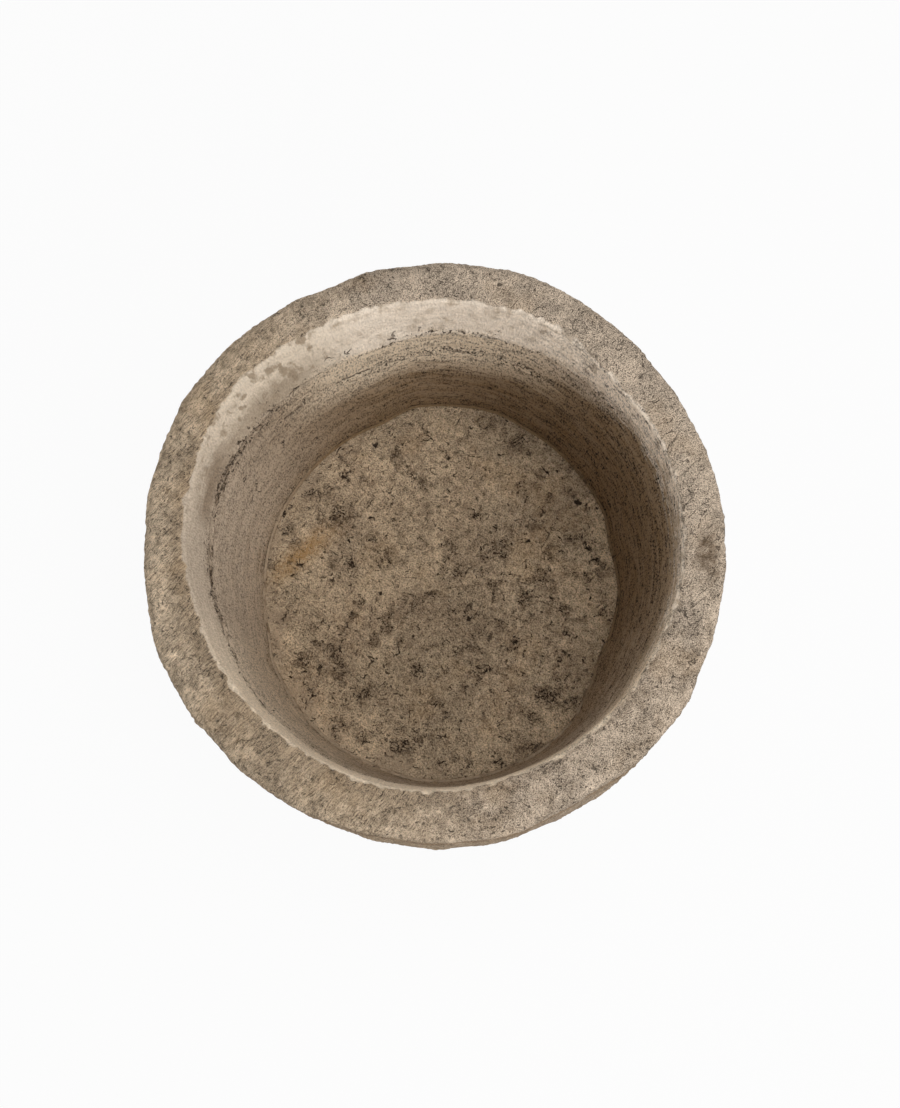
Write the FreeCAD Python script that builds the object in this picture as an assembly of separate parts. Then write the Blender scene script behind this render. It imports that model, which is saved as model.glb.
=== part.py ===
import FreeCAD
import Part
import math
import os

# A round stone trough planter: a wall ring hewn with a tapered bore, a floor slab let into
# the foot of that bore like a plug, and the lime mortar that beds the slab in its seat.
# Millimetres, +Z up, origin at the centre of the underside.

# Driving dimensions: outside of the trough
TROUGH_DIAMETER = 600.0  # over the rim
TROUGH_HEIGHT = 350.0  # underside to the top of the rim
OUTSIDE_BATTER = 4.0  # how far the outside leans in between rim and foot
RIM_WIDTH = 44.0  # outer face to lip, across the top
RIM_ROUNDING = 16.0  # worn outer edge of the rim
FOOT_ROUNDING = 9.0  # worn edge that the trough stands within

# Driving dimensions: inside of the wall
LIP_ROUNDING = 8.0  # edge between the rim and the worn lip
LIP_DEPTH = 70.0  # the lip's height, from the rim down to the open bed line
LIP_FLARE = 19.5  # how much wider the lip is at the rim than at the bed line
BED_LINE_HEIGHT = 5.0  # opening of the weathered bed line
BED_LINE_DEPTH = 4.0  # how far the bed line is weathered into the wall
BED_LINE_STEP = 2.0  # how far the wall under the bed line stands back from the lip

# Driving dimensions: floor and its seat
FLOOR_DIAMETER = 420.0  # the bore at the level of the floor
FLOOR_THICKNESS = 60.0  # underside to the floor's face
FLOOR_EDGE_ROUNDING = 2.0  # worn edge of the slab
JOINT_WIDTH = 3.0  # mortar between the slab and its seat
JOINT_RECESS = 1.0  # how far the mortar stays below each face of the slab

# Sizes that follow from them
RIM_RADIUS = TROUGH_DIAMETER / 2.0
FOOT_RADIUS = RIM_RADIUS - OUTSIDE_BATTER
LIP_RADIUS = RIM_RADIUS - RIM_WIDTH
BED_LINE_TOP = TROUGH_HEIGHT - LIP_DEPTH
BED_LINE_FOOT = BED_LINE_TOP - BED_LINE_HEIGHT
LIP_FOOT_RADIUS = LIP_RADIUS - LIP_FLARE
WALL_TOP_RADIUS = LIP_FOOT_RADIUS + BED_LINE_STEP
FLOOR_RADIUS = FLOOR_DIAMETER / 2.0
BORE_SLOPE = (WALL_TOP_RADIUS - FLOOR_RADIUS) / (BED_LINE_FOOT - FLOOR_THICKNESS)

AXIS_POINT = FreeCAD.Vector(0, 0, 0)
AXIS = FreeCAD.Vector(0, 0, 1)
FULL_TURN = 360.0


def bore_radius(z):
    """Radius of the tapered bore at height z, from the bed line down through the floor's seat."""
    return FLOOR_RADIUS + BORE_SLOPE * (z - FLOOR_THICKNESS)


def slab_radius(z):
    """Radius of the floor slab's edge at height z: the bore less the joint."""
    return bore_radius(z) - JOINT_WIDTH


def rounded_corner(before, corner, after, radius):
    """Start, middle and end of the arc that rounds a corner of the profile."""
    to_before = (before - corner).normalize()
    to_after = (after - corner).normalize()
    half_angle = to_before.getAngle(to_after) / 2.0
    setback = radius / math.tan(half_angle)
    inward = (to_before + to_after).normalize()
    middle = corner + inward * (radius / math.sin(half_angle) - radius)
    return corner + to_before * setback, middle, corner + to_after * setback


def turned(profile):
    """Solid of revolution from corners (radius, height, rounding), listed round a closed profile."""
    corners = [FreeCAD.Vector(r, 0, z) for r, z, rounding in profile]
    edges = []
    ends = []
    for i, (r, z, rounding) in enumerate(profile):
        corner = corners[i]
        if rounding == 0:
            ends.append((corner, corner))
            continue
        after = corners[(i + 1) % len(corners)]
        start, middle, end = rounded_corner(corners[i - 1], corner, after, rounding)
        edges.append(Part.Arc(start, middle, end).toShape())
        ends.append((start, end))
    for i, (start, end) in enumerate(ends):
        next_start = ends[(i + 1) % len(ends)][0]
        edges.append(Part.LineSegment(end, next_start).toShape())
    wire = Part.Wire(Part.__sortEdges__(edges))
    return Part.Face(wire).revolve(AXIS_POINT, AXIS, FULL_TURN)


def wall_ring():
    """The trough's wall: battered outside, worn rim and lip, weathered bed line, tapered bore."""
    return turned([
        (bore_radius(0), 0, 0),
        (FOOT_RADIUS, 0, FOOT_ROUNDING),
        (RIM_RADIUS, TROUGH_HEIGHT, RIM_ROUNDING),
        (LIP_RADIUS, TROUGH_HEIGHT, LIP_ROUNDING),
        (LIP_FOOT_RADIUS, BED_LINE_TOP, 0),
        (WALL_TOP_RADIUS + BED_LINE_DEPTH, (BED_LINE_TOP + BED_LINE_FOOT) / 2.0, 0),
        (WALL_TOP_RADIUS, BED_LINE_FOOT, 0),
    ])


def floor_slab():
    """The floor: a tapered plug that its seat in the bore carries."""
    return turned([
        (0, 0, 0),
        (slab_radius(0), 0, 0),
        (slab_radius(FLOOR_THICKNESS), FLOOR_THICKNESS, FLOOR_EDGE_ROUNDING),
        (0, FLOOR_THICKNESS, 0),
    ])


def floor_bedding():
    """The mortar sleeve between slab and seat, kept back from both faces."""
    foot = JOINT_RECESS
    top = FLOOR_THICKNESS - JOINT_RECESS
    return turned([
        (slab_radius(foot), foot, 0),
        (bore_radius(foot), foot, 0),
        (bore_radius(top), top, 0),
        (slab_radius(top), top, 0),
    ])


def main():
    os.makedirs("parts", exist_ok=True)
    pieces = {
        "wall_ring": wall_ring(),
        "floor_slab": floor_slab(),
        "floor_bedding": floor_bedding(),
    }
    for name, shape in pieces.items():
        shape.exportStep(os.path.join("parts", name + ".step"))
        litres = shape.Volume / 1e6
        print(f"{name}: {shape.ShapeType}, valid {shape.isValid()}, {litres:.2f} litres")


main()
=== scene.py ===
import bpy
import math
import random
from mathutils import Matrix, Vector, noise


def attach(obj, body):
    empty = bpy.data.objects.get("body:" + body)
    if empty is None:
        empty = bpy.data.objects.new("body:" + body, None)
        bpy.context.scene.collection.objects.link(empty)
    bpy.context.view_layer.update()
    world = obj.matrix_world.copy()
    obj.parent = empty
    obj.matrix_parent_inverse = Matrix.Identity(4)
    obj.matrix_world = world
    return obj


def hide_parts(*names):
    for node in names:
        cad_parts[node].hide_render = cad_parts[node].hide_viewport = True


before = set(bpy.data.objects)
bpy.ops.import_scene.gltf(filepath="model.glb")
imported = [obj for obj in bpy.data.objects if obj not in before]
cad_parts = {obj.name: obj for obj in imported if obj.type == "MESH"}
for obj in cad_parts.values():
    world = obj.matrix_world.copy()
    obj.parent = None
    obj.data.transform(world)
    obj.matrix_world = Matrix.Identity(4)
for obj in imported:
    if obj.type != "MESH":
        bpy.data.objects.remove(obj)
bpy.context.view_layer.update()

# Sizes of the cut stone, in metres
TROUGH_HEIGHT = 0.350
RIM_RADIUS = 0.300
FOOT_RADIUS = 0.296
RIM_ROUNDING = 0.016
FOOT_ROUNDING = 0.009
LIP_EDGE = [(0.2621, 0.350), (0.2572, 0.3484), (0.2544, 0.3441)]
LIP_FOOT = (0.2365, 0.280)
BED_LINE = (0.2425, 0.2775)
WALL_TOP = (0.2385, 0.275)
FLOOR_RADIUS = 0.210
FLOOR_LEVEL = 0.060
BORE_FOOT_RADIUS = 0.20205
JOINT = 0.003
SLAB_EDGE = 0.001

# How the stone was worked: the way the tool was struck, and how far the near side leans out
STROKE_ANGLE = -0.80
LEAN_TOP = 0.0085
LEAN_FOOT = 0.0008

# How far lines round the stone stand out of true circles: degrees about the axis, metres
OUTSIDE_LINE = [(0, 0.0), (25, -0.002), (38, -0.0025), (48, 0.0), (75, 0.0045), (112, -0.0005),
                (150, 0.004), (180, 0.0015), (210, 0.0055), (226, 0.0022), (240, -0.0025),
                (262, -0.0015), (290, 0.0), (322, 0.0055), (342, 0.0), (360, 0.0)]
LIP_LINE = [(0, -0.001), (24, 0.001), (40, -0.003), (64, 0.0045), (90, 0.0015), (118, 0.001),
            (145, 0.0085), (172, 0.003), (200, -0.003), (238, -0.0045), (262, -0.002),
            (300, -0.006), (330, -0.006), (360, -0.001)]
CREASE_LINE = [(0, 0.007), (27, 0.0085), (62, 0.0075), (85, 0.005), (112, -0.006), (136, -0.003),
               (162, 0.004), (180, 0.003), (202, 0.0), (225, 0.003), (250, 0.006), (270, 0.0085),
               (300, 0.007), (331, 0.004), (360, 0.007)]
FLOOR_LINE = [(0, 0.001), (14, -0.002), (26, 0.005), (60, 0.008), (72, 0.012), (95, 0.010),
              (110, -0.002), (150, -0.007), (180, -0.0095), (195, -0.008), (206, -0.002), (240, 0.005),
              (270, 0.012), (300, 0.012), (314, 0.009), (326, 0.0), (337, -0.006), (348, -0.002),
              (360, 0.001)]

# Colours of the stone, linear
RIM_PALE = (0.585, 0.470, 0.358, 1)
RIM_MID = (0.385, 0.296, 0.212, 1)
# Lift for painted light on the floor, where corner shade and the wall's shadow fall
PAINTED_LIGHT_LIFT = (1.25, 1.25, 1.25, 1)
WARM = (1.14, 1.113, 1.039, 1)
RIM_DARK = (0.085, 0.065, 0.046, 1)
ARRIS = (0.308, 0.211, 0.126, 1)
BUFF = (0.450, 0.350, 0.250, 1)
PALE_BAND = (0.700, 0.573, 0.428, 1)
CREAM = (0.810, 0.695, 0.570, 1)
FLAKE = (0.660, 0.555, 0.435, 1)
TAN = (0.350, 0.273, 0.193, 1)
LIP_GREY = (0.460, 0.375, 0.288, 1)
WALL_GREY = (0.470, 0.374, 0.280, 1)
# Paler wall colour: painted light on the foot of the left wall
LIT_WALL_PALE = (0.560, 0.449, 0.338, 1)
# Dark brown of the walls: painted shade on the shaded right and far sides, and also the brown of the streaks
# and of the mortar
WALL_BROWN_AND_SHADE = (0.264, 0.176, 0.096, 1)
FLOOR_BUFF = (0.548, 0.425, 0.288, 1)
FLOOR_MEAN = (0.460, 0.352, 0.245, 1)
FLOOR_GREY = (0.380, 0.282, 0.188, 1)
OCHRE = (0.500, 0.300, 0.125, 1)
BROWN = (0.165, 0.110, 0.064, 1)
DARK = (0.032, 0.020, 0.012, 1)


# Pieces

MOST_TRIANGLES = 196000


def only(piece):
    """Leave one piece selected and active, in object mode."""
    if bpy.context.object and bpy.context.object.mode != "OBJECT":
        bpy.ops.object.mode_set(mode="OBJECT")
    bpy.ops.object.select_all(action="DESELECT")
    piece.select_set(True)
    bpy.context.view_layer.objects.active = piece


def apply_modifier(piece, kind, **settings):
    only(piece)
    modifier = piece.modifiers.new(kind.lower(), kind)
    for key, value in settings.items():
        setattr(modifier, key, value)
    bpy.ops.object.modifier_apply(modifier=modifier.name)


def smooth(value, low, high):
    t = min(max((value - low) / (high - low), 0.0), 1.0)
    return t * t * (3.0 - 2.0 * t)


def steps(a, b, count):
    """Profile points after a, evenly up to b."""
    shares = [i / count for i in range(1, count + 1)]
    return [(a[0] + (b[0] - a[0]) * t, a[1] + (b[1] - a[1]) * t) for t in shares]


def arc(centre, radius, start, end, count):
    """Profile points along an arc, its first point left out."""
    turns = [math.radians(start + (end - start) * i / count) for i in range(1, count + 1)]
    return [(centre[0] + radius * math.cos(t), centre[1] + radius * math.sin(t)) for t in turns]


def draw_loop(r, z, r1, z1):
    """Draw the selected edge loop out to the next radius and height."""
    bpy.ops.mesh.extrude_edges_move(TRANSFORM_OT_translate={"value": (0, 0, z1 - z)})
    bpy.ops.transform.resize(value=(r1 / r, r1 / r, 1), center_override=(0, 0, 0))


def select_open_edges():
    bpy.ops.mesh.select_all(action="DESELECT")
    bpy.ops.mesh.select_mode(type="EDGE")
    bpy.ops.mesh.select_non_manifold(extend=False, use_boundary=True)


def close_piece():
    bpy.ops.mesh.select_all(action="SELECT")
    bpy.ops.mesh.normals_make_consistent(inside=False)
    bpy.ops.object.mode_set(mode="OBJECT")


def turned(name, profile, columns):
    """A ring drawn out of one circle, loop by loop, along a closed profile."""
    bpy.ops.object.select_all(action="DESELECT")
    r, z = profile[0]
    bpy.ops.mesh.primitive_circle_add(vertices=columns, radius=r, location=(0, 0, 0))
    piece = bpy.context.object
    piece.name = name
    bpy.ops.object.mode_set(mode="EDIT")
    bpy.ops.mesh.select_all(action="SELECT")
    bpy.ops.transform.translate(value=(0, 0, z))
    for r1, z1 in profile[1:]:
        draw_loop(r, z, r1, z1)
        r, z = r1, z1
    select_open_edges()
    bpy.ops.mesh.bridge_edge_loops()
    close_piece()
    return piece


def stand_out(line, turn):
    """How far a line round the stone stands out of its true circle, at an angle about the axis."""
    degrees = math.degrees(turn) % 360
    for (a, rise_a), (b, rise_b) in zip(line, line[1:]):
        if a <= degrees <= b:
            return rise_a + (rise_b - rise_a) * smooth(degrees, a, b)


def hollow_out(turn, z):
    """How far the hollow stands out of round, between its lip, crease and floor lines."""
    if z <= FLOOR_LEVEL:
        return stand_out(FLOOR_LINE, turn)
    crease = stand_out(CREASE_LINE, turn)
    if z < LIP_FOOT[1]:
        share = (LIP_FOOT[1] - z) / (LIP_FOOT[1] - FLOOR_LEVEL)
        return crease + (stand_out(FLOOR_LINE, turn) - crease) * share
    share = min((z - LIP_FOOT[1]) / (LIP_EDGE[1][1] - LIP_FOOT[1]), 1.0)
    return crease + (stand_out(LIP_LINE, turn) - crease) * share


def hand_cut(piece, flats=()):
    """Set the hollow out of round and hew flats outside; keep each point's true radius and height."""
    cut = piece.data.attributes.new("cut", "FLOAT_VECTOR", "POINT")
    for vertex, mark in zip(piece.data.vertices, cut.data):
        x, y, z = vertex.co
        radius = math.hypot(x, y)
        turn = math.atan2(y, x)
        mark.vector = (radius, z, 0)
        outside = smooth(radius, 0.264, 0.288)
        reach = 1.0
        for angle, distance in flats:
            facing = math.cos(turn - angle)
            if facing > 0.8:
                reach = min(reach, distance / facing / RIM_RADIUS)
        reach += stand_out(OUTSIDE_LINE, turn) / RIM_RADIUS
        near_side = smooth(math.cos(turn - math.radians(262)), 0.76, 0.94)
        reach += near_side * (LEAN_TOP * z / TROUGH_HEIGHT - LEAN_FOOT) / RIM_RADIUS
        hollow = hollow_out(turn, z) * min(radius / FLOOR_RADIUS, 1.0)
        if abs(z - BED_LINE[1]) < 0.001 and radius < 0.25:
            worn = 0.45 + 0.9 * noise.noise((9 * math.cos(turn), 9 * math.sin(turn), 0.0))
            worn = max(smooth(math.cos(turn - math.radians(322)), 0.2, 0.6), min(max(worn, 0.0), 1.0))
            hollow -= (BED_LINE[0] - WALL_TOP[0]) * worn
        grow = 1 + outside * (reach - 1) + (1 - outside) * hollow / max(radius, 0.001)
        vertex.co.x = x * grow
        vertex.co.y = y * grow


def hewn_flats(count, seed):
    """Where the outside was dressed flat: angle and distance from the axis of each cut."""
    draw = random.Random(seed)
    flats = []
    for i in range(count):
        angle = 2 * math.pi * (i + draw.uniform(-0.3, 0.3)) / count
        flats.append((angle, RIM_RADIUS - draw.uniform(0.0005, 0.0025)))
    return flats


def wall_ring():
    shoulder = (RIM_RADIUS - 0.0002, TROUGH_HEIGHT - RIM_ROUNDING)
    foot = (FOOT_RADIUS - FOOT_ROUNDING, FOOT_ROUNDING)
    profile = [(BORE_FOOT_RADIUS, 0.0)]
    profile += steps(profile[-1], (foot[0], 0.0), 2)
    profile += arc(foot, FOOT_ROUNDING, -90, 0, 2)
    profile += steps(profile[-1], shoulder, 10)
    profile += arc((shoulder[0] - RIM_ROUNDING, shoulder[1]), RIM_ROUNDING, 0, 90, 3)
    profile += steps(profile[-1], LIP_EDGE[0], 2) + LIP_EDGE[1:]
    profile += steps(profile[-1], LIP_FOOT, 7)
    profile += [BED_LINE, WALL_TOP]
    profile += steps(profile[-1], (FLOOR_RADIUS, FLOOR_LEVEL), 16)
    piece = turned("wall_ring_stone", profile, 192)
    hand_cut(piece, hewn_flats(26, 7))
    apply_modifier(piece, "SUBSURF", subdivision_type="SIMPLE", levels=2, render_levels=2)
    return piece


def floor_slab():
    """A disc drawn from a square grid, with its edge drawn down to the underside."""
    side = 300
    edge = FLOOR_RADIUS - JOINT
    bpy.ops.object.select_all(action="DESELECT")
    bpy.ops.mesh.primitive_grid_add(x_subdivisions=side, y_subdivisions=side, size=2, location=(0, 0, 0))
    piece = bpy.context.object
    piece.name = "floor_slab_stone"
    for vertex in piece.data.vertices:
        x, y, z = vertex.co
        vertex.co.x = (edge - SLAB_EDGE) * x * math.sqrt(1 - y * y / 2)
        vertex.co.y = (edge - SLAB_EDGE) * y * math.sqrt(1 - x * x / 2)
        vertex.co.z = FLOOR_LEVEL
    bpy.ops.object.mode_set(mode="EDIT")
    select_open_edges()
    draw_loop(edge - SLAB_EDGE, FLOOR_LEVEL, edge, FLOOR_LEVEL - SLAB_EDGE)
    draw_loop(edge, FLOOR_LEVEL - SLAB_EDGE, BORE_FOOT_RADIUS - JOINT, 0.0)
    bpy.ops.mesh.edge_face_add()
    close_piece()
    hand_cut(piece)
    return piece


def floor_bedding():
    low, high = 0.001, FLOOR_LEVEL - 0.0003
    slope = (FLOOR_RADIUS - BORE_FOOT_RADIUS) / FLOOR_LEVEL
    seat_low, seat_high = BORE_FOOT_RADIUS + slope * low, BORE_FOOT_RADIUS + slope * high
    profile = [(seat_low - JOINT, low), (seat_low, low), (seat_high, high), (seat_high - JOINT, high)]
    piece = turned("floor_bedding_mortar", profile, 240)
    hand_cut(piece)
    apply_modifier(piece, "SUBSURF", subdivision_type="SIMPLE", levels=2, render_levels=2)
    return piece


# Nodes

class Nodes:
    """Places nodes in one tree; an input is a number, a tuple or another node's output."""

    def __init__(self, tree):
        self.tree = tree

    def add(self, kind, inputs, out=0, **settings):
        node = self.tree.nodes.new(kind)
        for key, value in settings.items():
            setattr(node, key, value)
        for key, value in inputs.items():
            if isinstance(value, bpy.types.NodeSocket):
                self.tree.links.new(value, node.inputs[key])
            else:
                node.inputs[key].default_value = value
        return node.outputs[out]

    def math(self, operation, a, b=0.0):
        return self.add("ShaderNodeMath", {0: a, 1: b}, operation=operation)

    def mul(self, a, b):
        return self.math("MULTIPLY", a, b)

    def sum(self, *values):
        total = values[0]
        for value in values[1:]:
            total = self.math("ADD", total, value)
        return total

    def less(self, a, b):
        return self.math("SUBTRACT", a, b)

    def rest(self, a):
        """What is left of one."""
        return self.math("SUBTRACT", 1.0, a)

    def span(self, value, low, high, to_low=0.0, to_high=1.0):
        """Smooth step from low to high."""
        inputs = {0: value, 1: low, 2: high, 3: to_low, 4: to_high}
        return self.add("ShaderNodeMapRange", inputs, interpolation_type="SMOOTHSTEP")

    def near(self, value, middle, reach):
        """One at the middle, falling to nothing at reach on both sides."""
        return self.span(self.math("ABSOLUTE", self.less(value, middle)), reach, 0.0)

    def stretch(self, place, x, y, z):
        return self.add("ShaderNodeVectorMath", {0: place, 1: (x, y, z)}, operation="MULTIPLY")

    def shift(self, place, x, y, z):
        return self.add("ShaderNodeVectorMath", {0: place, 1: (x, y, z)}, operation="ADD")

    def noise(self, place, scale, detail=2.0, rough=0.5, out=0):
        inputs = {"Vector": place, "Scale": scale, "Detail": detail, "Roughness": rough}
        return self.add("ShaderNodeTexNoise", inputs, out=out)

    def askew(self, place):
        """The place turned about a slanting line, so that no grain runs with the axes."""
        return self.add("ShaderNodeVectorRotate", {"Vector": place, "Axis": (0.5, 0.3, 0.8), "Angle": 0.7})

    def struck(self, place):
        """The place turned so that its first axis runs along the tool's strokes."""
        inputs = {"Vector": place, "Angle": STROKE_ANGLE}
        return self.add("ShaderNodeVectorRotate", inputs, rotation_type="Z_AXIS")

    def cells(self, place, scale):
        """A random value for each cell of a broken pattern."""
        colour = self.add("ShaderNodeTexVoronoi", {"Vector": place, "Scale": scale}, out="Color")
        return self.parts(colour, 0)

    def parts(self, vector, axis):
        return self.add("ShaderNodeSeparateXYZ", {0: vector}, out=axis)

    def warp(self, place, scale, reach):
        """The place pushed about by noise."""
        push = self.noise(place, scale, out="Color")
        push = self.add("ShaderNodeVectorMath", {0: push, 1: (0.5, 0.5, 0.5)}, operation="SUBTRACT")
        push = self.add("ShaderNodeVectorMath", {0: push, "Scale": reach}, operation="SCALE")
        return self.add("ShaderNodeVectorMath", {0: place, 1: push}, operation="ADD")

    def blend(self, share, a, b, how="MIX"):
        return self.add("ShaderNodeMix", {0: share, 6: a, 7: b}, out=2, data_type="RGBA", blend_type=how)

    def grained(self, colour, *rises, most=1.2):
        """The colour made lighter and darker by grain, with the light side held back."""
        share = self.math("MINIMUM", self.sum(1.0, *rises), most)
        return self.blend(1.0, colour, share, "MULTIPLY")

    def length(self, place):
        return self.add("ShaderNodeVectorMath", {0: place}, out="Value", operation="LENGTH")

    def most(self, *values):
        """The greatest of several values."""
        top = values[0]
        for value in values[1:]:
            top = self.math("MAXIMUM", top, value)
        return top

    def facing(self, place, degrees, low, high):
        """Smooth share of the side that lies towards an angle about the axis."""
        flat = self.add("ShaderNodeVectorMath", {0: self.stretch(place, 1, 1, 0)}, operation="NORMALIZE")
        aim = (math.cos(math.radians(degrees)), math.sin(math.radians(degrees)), 0)
        dot = self.add("ShaderNodeVectorMath", {0: flat, 1: aim}, out="Value", operation="DOT_PRODUCT")
        return self.span(dot, low, high)

    def cut(self):
        """A point's radius and height on the true turned shape."""
        if self.tree.type == "SHADER":
            return self.add("ShaderNodeAttribute", {}, out="Vector", attribute_name="cut")
        return self.add("GeometryNodeInputNamedAttribute", {"Name": "cut"}, data_type="FLOAT_VECTOR")

    def group(self, name, **inputs):
        kind = "ShaderNodeGroup" if self.tree.type == "SHADER" else "GeometryNodeGroup"
        suffix = "_look" if self.tree.type == "SHADER" else "_shape"
        inputs = {key.replace("_", " ").capitalize(): value for key, value in inputs.items()}
        return self.add(kind, inputs, node_tree=bpy.data.node_groups[name + suffix])


def field(name, inputs, recipe):
    """One pattern as a node group, made alike for the shape and for the look."""
    for kind, suffix in (("ShaderNodeTree", "_look"), ("GeometryNodeTree", "_shape")):
        tree = bpy.data.node_groups.new(name + suffix, kind)
        for label, socket in inputs.items():
            tree.interface.new_socket(label, in_out="INPUT", socket_type=socket)
        tree.interface.new_socket("Value", in_out="OUTPUT", socket_type="NodeSocketFloat")
        entry = tree.nodes.new("NodeGroupInput")
        nodes = Nodes(tree)
        sockets = [entry.outputs[label] for label in inputs]
        leave = tree.nodes.new("NodeGroupOutput")
        tree.links.new(recipe(nodes, *sockets), leave.inputs[0])


VECTOR, FLOAT = "NodeSocketVector", "NodeSocketFloat"


def pitting(n, place, scale, edge):
    """Small ragged holes, fewer and smaller as the edge value goes up."""
    return n.span(n.noise(place, scale, 2.0, 0.6), edge, n.sum(edge, 0.03))


def stem_marks(n, place, scale, width, edge):
    """Short curved marks: broken lines where a slow noise crosses its middle."""
    line = n.math("ABSOLUTE", n.less(n.noise(place, scale, 1.0, 0.6), 0.5))
    line = n.span(line, width, n.mul(width, 0.3))
    breaks = n.noise(n.shift(place, 3.1, 1.7, 0.4), n.mul(scale, 2.4), 0.0)
    return n.mul(line, n.span(breaks, edge, n.sum(edge, 0.05)))


def chisel_strokes(n, place, spacing, length):
    """Tool strokes, all struck the same way across the stone."""
    run = n.math("DIVIDE", 1.0, length)
    size = n.add("ShaderNodeCombineXYZ", {0: run, 1: n.math("DIVIDE", 1.0, spacing), 2: run})
    spot = n.add("ShaderNodeVectorMath", {0: n.struck(place), 1: size}, operation="MULTIPLY")
    return n.noise(spot, 1.0, 2.0, 0.6)


def bed_streaks(n, place, fineness):
    """Level streaks of the stone's bedding, cut across by the wall."""
    scale = n.add("ShaderNodeCombineXYZ", {0: 20.0, 1: 20.0, 2: fineness})
    inputs = {0: n.warp(place, 14.0, 0.012), 1: scale}
    level = n.add("ShaderNodeVectorMath", inputs, operation="MULTIPLY")
    return n.noise(level, 1.0, 3.0, 0.65)


def bed_height(n, place):
    """Height in the bedding, which wanders a little round the wall."""
    slow = n.mul(n.less(n.noise(n.stretch(place, 9, 9, 2), 1.0, 1.0), 0.5), 0.030)
    quick = n.mul(n.less(n.noise(n.stretch(place, 110, 110, 16), 1.0, 3.0, 0.65), 0.5), 0.012)
    return n.sum(n.parts(place, 2), slow, quick)


def bed_openness(n, place):
    """Bands where the stone's beds are open."""
    z = bed_height(n, place)
    lower = n.sum(n.mul(n.near(z, 0.225, 0.022), 0.9), n.mul(n.near(z, 0.16, 0.03), 0.3))
    return n.sum(n.near(z, 0.280, 0.012), lower)


def bed_cracks(n, place):
    """Thin broken cracks along the open beds."""
    z = bed_height(n, place)
    lower = n.sum(n.near(z, 0.228, 0.0034), n.mul(n.near(z, 0.212, 0.0026), 0.7))
    open_sides = n.sum(n.facing(place, 220, 0.97, 0.99), n.facing(place, 105, 0.5, 0.8))
    upper = n.mul(n.near(z, 0.281, 0.0022), open_sides)
    lines = n.sum(upper, n.mul(lower, n.facing(place, 100, 0.45, 0.85)))
    return n.mul(lines, n.span(n.noise(n.stretch(place, 48, 48, 16), 1.0, 2.0), 0.50, 0.58))


field("pitting", {"Place": VECTOR, "Scale": FLOAT, "Edge": FLOAT}, pitting)
field("stem_marks", {"Place": VECTOR, "Scale": FLOAT, "Width": FLOAT, "Edge": FLOAT}, stem_marks)
field("chisel_strokes", {"Place": VECTOR, "Spacing": FLOAT, "Length": FLOAT}, chisel_strokes)
field("bed_streaks", {"Place": VECTOR, "Fineness": FLOAT}, bed_streaks)
field("bed_openness", {"Place": VECTOR}, bed_openness)
field("bed_cracks", {"Place": VECTOR}, bed_cracks)


# Shape of the surfaces

def relief(piece, recipe):
    """Raise and lower a piece's surface along its normals, and apply that."""
    tree = bpy.data.node_groups.new(piece.name + "_relief", "GeometryNodeTree")
    tree.interface.new_socket("Geometry", in_out="INPUT", socket_type="NodeSocketGeometry")
    tree.interface.new_socket("Geometry", in_out="OUTPUT", socket_type="NodeSocketGeometry")
    n = Nodes(tree)
    entry = tree.nodes.new("NodeGroupInput")
    leave = tree.nodes.new("NodeGroupOutput")
    place = n.add("GeometryNodeInputPosition", {})
    normal = n.add("GeometryNodeInputNormal", {})
    height = recipe(n, place, normal)
    offset = n.add("ShaderNodeVectorMath", {0: normal, "Scale": height}, operation="SCALE")
    moved = n.add("GeometryNodeSetPosition", {"Geometry": entry.outputs[0], "Offset": offset})
    tree.links.new(moved, leave.inputs[0])
    apply_modifier(piece, "NODES", node_group=tree)


def swell(n, place, scale, height, detail=2.0):
    """Noise as a rise and fall about nothing, in metres."""
    return n.mul(n.less(n.noise(place, scale, detail, 0.55), 0.5), height)


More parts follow.
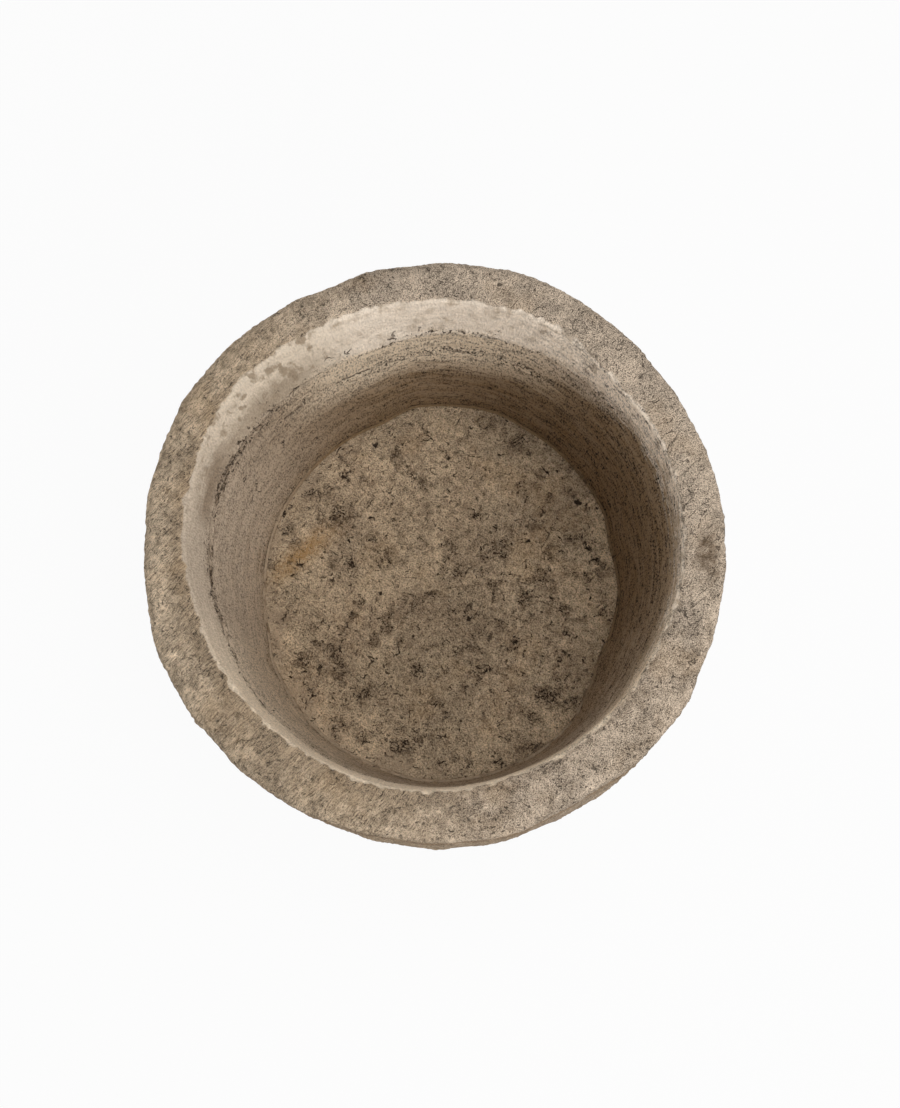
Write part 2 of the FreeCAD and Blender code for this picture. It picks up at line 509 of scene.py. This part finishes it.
def ring_relief(n, place, normal):
    radius = n.parts(n.cut(), 0)
    z = n.parts(place, 2)
    outside = n.span(radius, 0.272, 0.290)
    inside = n.rest(outside)
    top = n.span(z, 0.325, 0.346)
    rim = n.mul(top, n.span(radius, 0.250, 0.258))
    lip = n.mul(inside, n.span(z, 0.274, 0.284))
    bore = n.mul(inside, n.rest(n.span(z, 0.274, 0.284)))
    above_ground = n.span(z, 0.002, 0.020)
    chip = n.cells(n.warp(place, 30, 0.02), 30.0)
    hewn = n.sum(n.mul(n.less(chip, 0.6), 0.0011),
                 swell(n, place, 36, 0.0045, 3.0), swell(n, place, 150, 0.0060))
    stroke_side = n.sum(n.mul(n.facing(place, 215, 0.0, 0.8), 0.75), 0.25)
    strokes = n.less(n.group("chisel_strokes", place=place, spacing=0.0070, length=0.022), 0.5)
    strokes = n.mul(n.mul(strokes, 0.0045), stroke_side)
    dressed = n.sum(swell(n, place, 26, 0.0075, 3.0), strokes, swell(n, place, 170, 0.0045))
    bites = n.mul(n.near(n.sum(radius, z), 0.606, 0.010), n.span(n.noise(place, 75, 2), 0.52, 0.68))
    smoothed = n.sum(swell(n, n.stretch(place, 16, 16, 40), 1.0, 0.0042),
                     n.mul(n.less(n.group("bed_streaks", place=place, fineness=110.0), 0.5), 0.0014))
    pits = n.group("pitting", place=n.stretch(place, 1, 1, 1.7), scale=120.0, edge=0.56)
    beds = n.sum(n.mul(n.mul(n.group("bed_openness", place=place), pits), 0.0014),
                 n.mul(n.group("bed_cracks", place=place), 0.0020))
    streaked = n.sum(swell(n, n.stretch(place, 13, 13, 26), 1.0, 0.0050),
                     n.mul(swell(n, place, 60, 0.010, 3.0), n.near(z, 0.055, 0.030)),
                     n.mul(n.less(n.group("bed_streaks", place=place, fineness=120.0), 0.5), 0.0022))
    wall = n.less(n.sum(n.mul(lip, smoothed), n.mul(bore, streaked)), n.mul(inside, beds))
    face = n.mul(n.mul(outside, n.rest(top)), hewn)
    total = n.sum(n.mul(face, above_ground), n.mul(rim, dressed), n.mul(n.rest(rim), wall))
    return n.mul(n.less(total, n.mul(bites, 0.0022)), above_ground)


def floor_clusters(n, flat):
    """Patches of the floor where the holes gather."""
    return n.span(n.noise(flat, 40, 3), 0.53, 0.66)


def floor_holes(n, flat, cluster):
    """Pits and crooked marks that are worn into the floor."""
    pits = n.group("pitting", place=flat, scale=360.0, edge=n.less(0.68, n.mul(cluster, 0.08)))
    edge = n.less(0.61, n.mul(cluster, 0.06))
    marks = n.group("stem_marks", place=n.warp(flat, 180, 0.006), scale=46.0, width=0.021, edge=edge)
    return pits, marks


def slab_relief(n, place, normal):
    up = n.span(n.parts(normal, 2), 0.6, 0.95)
    flat = n.askew(n.stretch(place, 1, 1, 0))
    cluster = floor_clusters(n, flat)
    pits, marks = floor_holes(n, flat, cluster)
    hollows = n.sum(n.mul(pits, 0.0014), n.mul(marks, 0.0010), n.mul(cluster, 0.0008))
    ground = n.sum(swell(n, flat, 11, 0.0050), swell(n, flat, 45, 0.0030, 3.0),
                   swell(n, flat, 200, 0.0016))
    return n.mul(n.less(ground, hollows), up)


def bedding_relief(n, place, normal):
    up = n.span(n.parts(normal, 2), 0.6, 0.95)
    worn = n.mul(n.facing(place, 5, 0.6, 0.95), 0.0008)
    return n.mul(n.less(swell(n, place, 120, 0.0012), worn), up)


# Looks of the surfaces

def stone(name, recipe):
    """A matt stone whose colour and fine relief come from one recipe."""
    material = bpy.data.materials.new(name)
    material.use_nodes = True
    tree = material.node_tree
    n = Nodes(tree)
    skin = tree.nodes["Principled BSDF"]
    place = n.add("ShaderNodeTexCoord", {}, out="Object")
    colour, height, roughness = recipe(n, place)
    bump = n.add("ShaderNodeBump", {"Height": height, "Distance": 0.0020, "Strength": 1.0})
    tree.links.new(colour, skin.inputs["Base Color"])
    tree.links.new(roughness, skin.inputs["Roughness"])
    tree.links.new(bump, skin.inputs["Normal"])
    skin.inputs["Specular IOR Level"].default_value = 0.2
    return material


def rim_marks(n, place, ready, pale_side):
    """Pits and cracks where the stone is ready for them, and straight hairlines on the right."""
    depth = n.span(n.noise(n.shift(place, 0.4, 0.8, 0.0), 90, 1), 0.35, 0.60, 0.45, 1.0)
    askew = n.askew(place)
    pits = n.group("pitting", place=askew, scale=480.0, edge=n.less(0.67, ready))
    crooked = n.warp(askew, 180, 0.006)
    edge = n.less(n.sum(0.605, n.mul(pale_side, 0.035)), ready)
    cracks = n.group("stem_marks", place=crooked, scale=110.0, width=0.055, edge=edge)
    along = n.stretch(n.struck(n.warp(place, 90, 0.004)), 0.28, 1.0, 1.0)
    hairs = n.group("stem_marks", place=along, scale=85.0, width=0.018, edge=0.53)
    hairs = n.mul(hairs, n.sum(0.12, n.mul(n.facing(place, 30, 0.4, 0.9), 0.60)))
    return n.most(n.mul(n.most(pits, n.mul(cracks, 0.85)), depth), hairs)


def dressed_rim(n, place, radius, z, fine, body, coarse, mottle):
    """Rough-dressed top and outside: buff and grey, with tool strokes and clusters of pits."""
    left_side = n.facing(place, 195, -0.1, 0.6)
    pale_side = n.facing(place, 50, 0.1, 0.9)
    far = n.facing(place, 118, 0.5, 0.9)
    fringe = n.mul(n.near(n.sum(radius, z), 0.611, 0.012), n.rest(pale_side))
    fringe = n.mul(fringe, n.sum(0.10, n.mul(left_side, 0.20), n.mul(far, -0.15)))
    outer = n.sum(n.mul(far, 0.18), n.mul(left_side, -0.12),
                  n.mul(n.facing(place, 337, 0.85, 0.98), 0.10))
    outer = n.mul(n.near(radius, 0.292, 0.022), outer)
    sides = n.sum(n.mul(pale_side, -0.32), n.mul(n.facing(place, 250, 0.6, 0.95), 0.13),
                  n.mul(n.facing(place, 308, 0.6, 0.95), -0.10),
                  n.mul(n.facing(place, 14, 0.93, 0.99), 0.10),
                  n.mul(n.facing(place, 52, 0.85, 0.98), -0.10))
    shade = n.sum(n.mul(mottle, 0.45), n.mul(body, 0.9), fringe, outer, sides)
    colour = n.blend(n.span(shade, -0.22, 0.22), RIM_PALE, RIM_MID)
    clusters = n.noise(n.warp(n.shift(place, 0.7, 0.1, 0.0), 40, 0.020), 21, 4, 0.6)
    colour = n.blend(1.0, colour, n.span(clusters, 0.475, 0.525, 1.06, 0.90), "MULTIPLY")
    colour = n.blend(left_side, colour, WARM, "MULTIPLY")
    side = n.mul(n.span(radius, 0.285, 0.295), n.span(n.sum(z, n.mul(coarse, 0.010)), 0.337, 0.322))
    side = n.mul(side, n.span(n.sum(z, n.mul(mottle, 0.10)), 0.255, 0.300, 0.45, 0.92))
    colour = n.blend(side, colour, ARRIS)
    wandering = n.warp(place, 70, 0.006)
    strokes = n.group("chisel_strokes", place=wandering, spacing=0.0010, length=0.0075)
    strokes = n.mul(n.less(strokes, 0.5), n.mul(left_side, 1.25))
    speck = n.sum(n.mul(fine, n.sum(1.0, n.mul(left_side, -0.4))), strokes)
    colour = n.grained(colour, n.mul(speck, -2.1), n.mul(body, -1.45), most=1.3)
    tint = n.span(n.noise(n.shift(place, 0.3, 0.6, 0.0), 18, 3), 0.52, 0.70)
    colour = n.blend(n.mul(tint, 0.14), colour, OCHRE)
    ready = n.sum(n.span(clusters, 0.42, 0.66, -0.03, 0.10), n.mul(shade, 0.12), n.mul(left_side, -0.05))
    dark = rim_marks(n, place, ready, pale_side)
    colour = n.blend(dark, colour, RIM_DARK)
    flecks = n.group("pitting", place=n.shift(place, 0.2, 0.5, 0.3), scale=420.0, edge=0.63)
    colour = n.blend(n.mul(flecks, 0.30), colour, PALE_BAND)
    smudge = n.length(n.stretch(n.shift(place, -0.277, 0.014, -0.35), 1.0, 0.55, 0.3))
    smudge = n.span(n.sum(smudge, n.mul(coarse, 0.03), n.mul(body, 0.05)), 0.020, 0.004)
    colour = n.blend(n.mul(smudge, n.span(body, -0.15, 0.12, 0.35, 0.95)), colour, BROWN)
    height = n.sum(n.mul(speck, -1.3), n.mul(body, -1.2), n.mul(dark, -1.0))
    return colour, height


def worn_lip(n, place, z, ragged, body):
    """The lip: cream with drips at the far side, grey at the near, flaked and chipped at the right, where it
    darkens downwards with painted shade.
    """
    right_side = n.facing(place, 0, 0.2, 0.9)
    far_side = n.facing(place, 97, 0.05, 0.85)
    dust = n.noise(n.stretch(place, 55, 55, 42), 1.0, 3, 0.6)
    drips = n.noise(n.stretch(place, 150, 150, 12), 1.0, 2)
    patchy = n.facing(place, 150, 0.72, 0.95)
    low, high = n.span(patchy, 0, 1, 0.68, 0.69), n.span(patchy, 0, 1, 1.05, 0.84)
    worn = n.span(n.sum(dust, n.mul(drips, 0.40)), low, high)
    far_lip = n.blend(worn, n.blend(patchy, CREAM, FLAKE), n.blend(patchy, BUFF, TAN))
    stain_height = n.span(n.sum(z, n.mul(n.less(dust, 0.5), 0.06)), 0.326, 0.298)
    far_lip = n.blend(n.mul(n.mul(n.facing(place, 150, 0.80, 0.97), stain_height), 0.85), far_lip, TAN)
    near_lip = n.blend(n.facing(place, 275, 0.0, 0.7), LIP_GREY, PALE_BAND)
    # Painted shade: on the right the lip darkens downwards to the dark brown of the shaded wall
    near_lip = n.blend(n.mul(right_side, n.span(ragged, 0.332, 0.282, 0.0, 0.85)), near_lip, WALL_BROWN_AND_SHADE)
    lip = n.blend(far_side, near_lip, far_lip)
    chips = n.noise(n.stretch(place, 1, 1, 0.6), 55, 3, 0.65)
    flakes = n.span(chips, 0.37, 0.45)
    flaked = n.mul(n.facing(place, 40, 0.85, 0.97), n.span(ragged, 0.288, 0.315))
    lip = n.blend(n.mul(flaked, 0.8), lip, n.blend(flakes, LIP_GREY, CREAM))
    fringe = n.span(n.sum(ragged, n.mul(body, 0.06)), 0.312, 0.326)
    fringe = n.mul(n.facing(place, 2, 0.80, 0.96), fringe)
    lip = n.blend(n.mul(n.mul(fringe, n.span(chips, 0.45, 0.52)), 0.6), lip, CREAM)
    smudge = n.mul(n.facing(place, 164, 0.980, 0.998), n.span(n.sum(z, n.mul(body, 0.08)), 0.328, 0.300))
    return n.blend(n.mul(smudge, 0.6), lip, BROWN)


def cut_wall(n, place, z, body, coarse, mottle):
    """Inside: a pale lip, and below it a wall that is streaked and cracked along the stone's beds; the wall
    carries painted shade low on the right and far sides and in the left crease, and painted light on the
    left and on the upper far wall.
    """
    right_side = n.facing(place, 0, 0.2, 0.9)
    left_side = n.facing(place, 190, 0.3, 0.9)
    far_side = n.facing(place, 97, 0.05, 0.85)
    # The right, far-right and far walls, which lie in the rim's shadow and get painted shade
    shaded_side = n.facing(place, 54, -0.45, 0.75)
    streaks = n.less(n.group("bed_streaks", place=n.warp(place, 40, 0.006), fineness=105.0), 0.5)
    thread_place = n.stretch(n.shift(place, 0.0, 0.0, 0.4), 3, 3, 1)
    threads = n.less(n.group("bed_streaks", place=thread_place, fineness=230.0), 0.5)
    smear = n.less(n.noise(n.stretch(place, 26, 26, 70), 1.0, 3, 0.6), 0.5)
    specks = swell(n, n.stretch(place, 1, 1, 0.35), 560, 1.0, 0.0)
    fall = n.sum(z, n.mul(smear, 0.05))
    ragged = n.sum(fall, n.mul(n.sum(streaks, threads), n.mul(right_side, 0.16)))

    lip = worn_lip(n, place, z, ragged, body)
    # Painted shade: on the shaded side the low wall turns dark brown below the rim's shadow line, whose
    # height drop moves by side
    drop = n.sum(n.mul(n.facing(place, 0, 0.65, 0.88), -0.050),
                 n.mul(n.facing(place, 52, 0.85, 0.97), 0.025))
    low = n.mul(n.span(n.sum(z, drop), 0.288, 0.246), shaded_side)
    # Painted light: the left wall grows paler towards its foot, where it falls into shade
    wall = n.blend(n.mul(left_side, n.span(z, 0.24, 0.10)), WALL_GREY, LIT_WALL_PALE)
    # Painted light on the near-left wall, which lies in shade
    wall = n.blend(n.mul(n.facing(place, 224, 0.85, 0.98), 0.8), wall, PALE_BAND)
    streaky = n.sum(1.0, n.mul(n.facing(place, 165, 0.3, 0.8), -0.7))
    near_side = n.mul(n.facing(place, 270, 0.7, 0.95), 0.28)
    # Browner: painted shade low on the shaded side, and darker brown along the streaks and on the near wall
    brown_and_shade = n.sum(n.mul(low, 0.85), near_side, n.mul(streaks, n.mul(streaky, 1.1)))
    wall = n.blend(brown_and_shade, wall, WALL_BROWN_AND_SHADE)
    # The upper far wall is paler: a paler bed, with painted light above the near rim's shadow line
    wall = n.blend(n.mul(n.span(fall, 0.150, 0.215), n.facing(place, 95, 0.70, 0.97)), wall, PALE_BAND)
    band_low = n.sum(0.270, n.mul(left_side, -0.010))
    band_high = n.sum(0.290, n.mul(n.sum(left_side, right_side), 0.016))
    band = n.span(ragged, band_low, band_high)
    wall = n.blend(band, wall, lip)
    merging = n.facing(place, 308, 0.6, 0.95)
    foot = n.span(n.sum(z, n.mul(mottle, 0.06), n.mul(coarse, 0.04), n.mul(merging, -0.07)), 0.092, 0.062)
    # The foot blends towards the floor colour, and on the shaded side towards the brown of the painted shade
    wall = n.blend(n.mul(foot, 0.7), wall, n.blend(shaded_side, FLOOR_MEAN, WALL_BROWN_AND_SHADE))
    # Painted shade: a soft broken brown band along the crease on the left, where the crease lies in shade
    crease_shade_patches = n.mul(left_side, n.span(n.noise(place, 24, 1), 0.34, 0.46))
    crease = n.mul(n.near(n.sum(z, n.mul(body, 0.10)), 0.270, 0.022), crease_shade_patches)
    wall = n.blend(n.mul(crease, n.span(mottle, -0.10, 0.12, 0.20, 0.80)), wall, BROWN)
    thread_share = n.sum(n.mul(streaky, -1.3), n.mul(n.mul(right_side, band), -1.3))
    grains = n.sum(n.mul(specks, n.sum(-1.1, n.mul(left_side, -0.3))), n.mul(body, -0.9),
                   n.mul(streaks, -0.6), n.mul(threads, thread_share))
    held = n.mul(n.mul(band, n.rest(right_side)), n.sum(-0.5, n.mul(far_side, -0.15)))
    rougher = n.sum(n.mul(n.mul(shaded_side, n.rest(band)), 0.6), n.mul(right_side, 0.5))
    wall = n.grained(wall, n.mul(grains, n.sum(1.0, rougher, held)))

    clear = n.span(fall, 0.315, 0.29)
    beds = n.group("bed_openness", place=place)
    ready = n.sum(n.mul(beds, n.mul(streaky, 0.13)), n.mul(foot, 0.07), n.mul(crease, 0.20))
    pits = n.group("pitting", place=n.stretch(place, 1, 1, 0.6), scale=320.0, edge=n.less(0.68, ready))
    crooked = n.warp(n.stretch(place, 1, 1, 0.9), 160, 0.004)
    marks = n.group("stem_marks", place=crooked, scale=34.0, width=0.012, edge=0.60)
    marks = n.mul(marks, n.sum(0.35, n.mul(n.facing(place, 125, 0.6, 0.95), 0.65)))
    dashes = n.mul(n.mul(n.span(threads, 0.13, 0.20), streaky), n.sum(0.12, n.mul(beds, 0.5)))
    holes = n.mul(n.most(n.group("bed_cracks", place=place), dashes, pits, marks), clear)
    wall = n.blend(n.mul(holes, 0.88), wall, DARK)
    height = n.sum(n.mul(specks, -0.5), n.mul(body, -0.6), n.mul(threads, 0.5), n.mul(holes, -0.8))
    return wall, height


def hewn_stone(n, place):
    radius = n.parts(n.cut(), 0)
    z = n.parts(place, 2)
    askew = n.askew(place)
    fine = swell(n, askew, 800, 1.0, 0.0)
    body = n.less(n.noise(askew, 105, 5.0, 0.76), 0.5)
    coarse = swell(n, askew, 110, 1.0)
    mottle = swell(n, askew, 32, 1.0, 4.0)
    edge_wander = n.sum(radius, z, swell(n, place, 60, 0.022, 3.0))
    edge = n.span(edge_wander, 0.6072, 0.6028)
    inner = n.mul(n.span(radius, 0.282, 0.268), edge)
    rim, rim_height = dressed_rim(n, place, radius, z, fine, body, coarse, mottle)
    wall, wall_height = cut_wall(n, place, z, body, coarse, mottle)
    height = n.sum(n.mul(n.rest(inner), rim_height), n.mul(inner, wall_height))
    return n.blend(inner, rim, wall), height, n.sum(0.90, n.mul(fine, 0.16))


def floor_stone(n, place):
    flat = n.askew(n.stretch(place, 1, 1, 0))
    fine = swell(n, flat, 600, 1.0, 0.0)
    body = n.less(n.noise(flat, 105, 5.0, 0.76), 0.5)
    mottle = swell(n, flat, 20, 1.0, 5.0)
    cluster = floor_clusters(n, flat)
    middle = n.span(n.length(n.stretch(n.shift(place, -0.03, 0.03, 0), 1, 1, 0)), 0.17, 0.03)
    shade = n.sum(n.mul(body, 0.9), n.mul(mottle, 0.7), swell(n, flat, 8, 0.30), n.mul(middle, 0.03))
    colour = n.blend(n.span(shade, -0.22, 0.22), FLOOR_BUFF, FLOOR_GREY)
    plates = n.noise(n.warp(n.shift(flat, 0.1, 0.7, 0.2), 40, 0.020), 15, 4, 0.6)
    colour = n.blend(1.0, colour, n.span(plates, 0.475, 0.520, 1.10, 0.93), "MULTIPLY")
    colour = n.grained(colour, n.mul(fine, -1.6), n.mul(body, -1.35), most=1.36)
    tint = n.span(n.noise(n.shift(flat, 0.3, 0.6, 0.0), 18, 3), 0.52, 0.70)
    colour = n.blend(n.mul(tint, 0.15), colour, OCHRE)
    inputs = {"Vector": n.stretch(place, 1, 1, 0), "Location": (0.094, -0.132, 0), "Rotation": (0, 0, -0.70)}
    stain_place = n.add("ShaderNodeMapping", inputs)
    stain = n.mul(n.near(n.parts(stain_place, 1), 0.0, 0.022), n.near(n.parts(stain_place, 0), 0.0, 0.080))
    colour = n.blend(n.mul(n.mul(stain, n.span(body, -0.3, 0.1)), 0.85), colour, OCHRE)
    broken = n.mul(cluster, n.span(body, -0.15, 0.10))
    colour = n.blend(n.mul(broken, 0.42), colour, BROWN)
    radius = n.sum(n.parts(n.cut(), 0), n.mul(mottle, 0.06))
    by_wall = n.mul(n.span(radius, 0.182, 0.206), n.facing(place, 200, -0.2, 0.6))
    colour = n.blend(n.mul(by_wall, 0.6), colour, FLOOR_MEAN)
    # Painted light: the floor is lifted in the near-left corner by the wall, where corner shade falls
    corner_painted_light = n.mul(n.span(radius, 0.13, 0.19), n.facing(place, 225, 0.75, 0.95))
    colour = n.blend(corner_painted_light, colour, PAINTED_LIGHT_LIFT, "MULTIPLY")
    # Painted light: the floor is lifted on the right, in the right wall's shadow
    right_side = n.mul(n.span(radius, 0.05, 0.12), n.facing(place, 348, 0.4, 0.95))
    colour = n.blend(n.mul(right_side, 0.50), colour, PAINTED_LIGHT_LIFT, "MULTIPLY")
    ready = n.sum(n.mul(cluster, 0.125), n.mul(by_wall, -0.04),
                  n.span(plates, 0.42, 0.60, -0.03, 0.02))
    pits, marks = floor_holes(n, flat, cluster)
    elsewhere = n.shift(flat, 0.5, 0.2, 0)
    fine_pits = n.group("pitting", place=elsewhere, scale=480.0, edge=n.less(0.67, ready))
    crooked = n.warp(n.shift(flat, 0.2, 0.9, 0), 180, 0.006)
    scratches = n.group("stem_marks", place=crooked, scale=115.0, width=0.055, edge=n.less(0.615, ready))
    depth = n.span(n.noise(n.shift(flat, 0.4, 0.8, 0), 80, 1), 0.35, 0.60, 0.45, 0.97)
    flecks = n.group("pitting", place=n.shift(flat, 0.9, 0.4, 0), scale=380.0, edge=0.64)
    colour = n.blend(n.mul(flecks, 0.50), colour, PALE_BAND)
    holes = n.mul(n.most(pits, fine_pits, marks, n.mul(scratches, 0.8)), depth)
    colour = n.blend(holes, colour, DARK)
    height = n.sum(n.mul(n.sum(shade, fine), -1.0), n.mul(holes, -1.0))
    return colour, height, n.sum(0.90, n.mul(fine, 0.16))


def lime_mortar(n, place):
    grain = swell(n, place, 330, 1.0, 3.0)
    mottle = n.noise(place, 60, 4, 0.6)
    pale = n.blend(n.span(mottle, 0.5, 0.7), FLOOR_MEAN, BROWN)
    # The joint is pale on the left and near sides, and dark brown on the right and far sides to match the
    # painted shade of the walls there
    colour = n.blend(n.facing(place, 235, -0.35, 0.3), WALL_BROWN_AND_SHADE, pale)
    # Darker still on the right: a dark joint deepened with painted shade where the right wall's shadow falls
    dark = n.mul(n.facing(place, 10, 0.7, 0.97), n.span(mottle, 0.50, 0.60))
    colour = n.blend(n.mul(dark, 0.8), colour, DARK)
    colour = n.blend(1.0, colour, n.sum(0.93, n.mul(grain, -0.9)), "MULTIPLY")
    return colour, n.mul(grain, -0.6), n.sum(0.90, n.mul(grain, 0.14))


def finish(piece, node, recipe, material):
    relief(piece, recipe)
    faces = sum(len(face.vertices) - 2 for face in piece.data.polygons)
    if faces > MOST_TRIANGLES:
        apply_modifier(piece, "DECIMATE", ratio=MOST_TRIANGLES / faces)
    only(piece)
    bpy.ops.object.shade_smooth()
    piece.data.materials.clear()
    piece.data.materials.append(material)
    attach(piece, "root")
    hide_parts(node)


ring = wall_ring()
finish(ring, "wall_ring", ring_relief, stone("hewn_stone", hewn_stone))
slab = floor_slab()
finish(slab, "floor_slab", slab_relief, stone("floor_stone", floor_stone))
bedding = floor_bedding()
finish(bedding, "floor_bedding", bedding_relief, stone("lime_mortar", lime_mortar))


# Ground: white to the eye, pale to the light, with a faint shadow

def ground_plane():
    bpy.ops.object.select_all(action="DESELECT")
    bpy.ops.mesh.primitive_plane_add(size=16.0, location=(0, 0, 0))
    ground = bpy.context.object
    ground.name = "ground"
    material = bpy.data.materials.new("white_ground")
    material.use_nodes = True
    tree = material.node_tree
    n = Nodes(tree)
    skin = tree.nodes["Principled BSDF"]
    skin.inputs["Base Color"].default_value = (0.6, 0.6, 0.6, 1)
    skin.inputs["Roughness"].default_value = 0.9
    glow = n.add("ShaderNodeEmission", {"Color": (1, 1, 1, 1), "Strength": 1.0})
    mixed = n.add("ShaderNodeMixShader", {0: n.mul(seen_directly(n), 0.95), 1: skin.outputs[0], 2: glow})
    tree.links.new(mixed, tree.nodes["Material Output"].inputs["Surface"])
    ground.data.materials.append(material)


def seen_directly(n):
    path = n.tree.nodes.new("ShaderNodeLightPath")
    rays = [path.outputs[kind] for kind in ("Is Camera Ray", "Is Glossy Ray", "Is Transmission Ray")]
    return n.most(*rays)


def studio_world():
    """A soft room: bright walls, dim ceiling."""
    world = bpy.data.worlds.new("studio")
    world.use_nodes = True
    tree = world.node_tree
    n = Nodes(tree)
    height = n.parts(n.add("ShaderNodeTexCoord", {}, out="Generated"), 2)
    glow = n.span(height, 0.28, 0.50, 1.30, 0.12)
    seen = seen_directly(n)
    strength = n.sum(n.mul(n.rest(seen), glow), seen)
    tree.links.new(strength, tree.nodes["Background"].inputs["Strength"])
    tree.nodes["Background"].inputs["Color"].default_value = (1, 1, 1, 1)
    bpy.context.scene.world = world


def softbox(name, azimuth, elevation, distance, size, level):
    """A square lamp aimed at the trough; level is the share of full light that it gives."""
    lamp = bpy.data.lights.new(name, "AREA")
    lamp.size = size
    lamp.energy = level * math.pi ** 2 * distance ** 2
    holder = bpy.data.objects.new(name, lamp)
    bpy.context.collection.objects.link(holder)
    a, e = math.radians(azimuth), math.radians(elevation)
    away = Vector((math.cos(a) * math.cos(e), math.sin(a) * math.cos(e), math.sin(e)))
    holder.location = Vector((0, 0, TROUGH_HEIGHT)) + away * distance
    holder.rotation_euler = away.to_track_quat("Z", "Y").to_euler()


# Camera: almost straight down, from the near side
IMAGE_WIDTH, IMAGE_HEIGHT = 900, 1108
FOCAL_PIXELS = 2228.0
DISTANCE = 2.28
ELEVATION = math.radians(79.5)
RIM_CENTRE_PIXEL = (435.3, 542.0)
SENSOR = 36.0


def photo_camera():
    lens = bpy.data.cameras.new("camera")
    camera = bpy.data.objects.new("camera", lens)
    bpy.context.collection.objects.link(camera)
    lens.sensor_fit = "VERTICAL"
    lens.sensor_height = SENSOR
    lens.lens = SENSOR * FOCAL_PIXELS / IMAGE_HEIGHT
    camera.rotation_euler = (math.pi / 2 - ELEVATION, 0, 0)
    back = Vector((0, -math.cos(ELEVATION), math.sin(ELEVATION)))
    up = Vector((0, math.sin(ELEVATION), math.cos(ELEVATION)))
    pixel = DISTANCE / FOCAL_PIXELS
    aside = Vector((1, 0, 0)) * (IMAGE_WIDTH / 2 - RIM_CENTRE_PIXEL[0]) * pixel
    lower = up * (IMAGE_HEIGHT / 2 - RIM_CENTRE_PIXEL[1]) * pixel
    camera.location = Vector((0, 0, TROUGH_HEIGHT)) + back * DISTANCE + aside - lower
    bpy.context.scene.camera = camera


ground_plane()
studio_world()
softbox("front_right_lamp", -52, 36, 3.2, 1.8, 0.42)
softbox("top_lamp", 20, 76, 3.2, 2.0, 0.46)
photo_camera()
bpy.context.scene.view_settings.view_transform = "Standard"
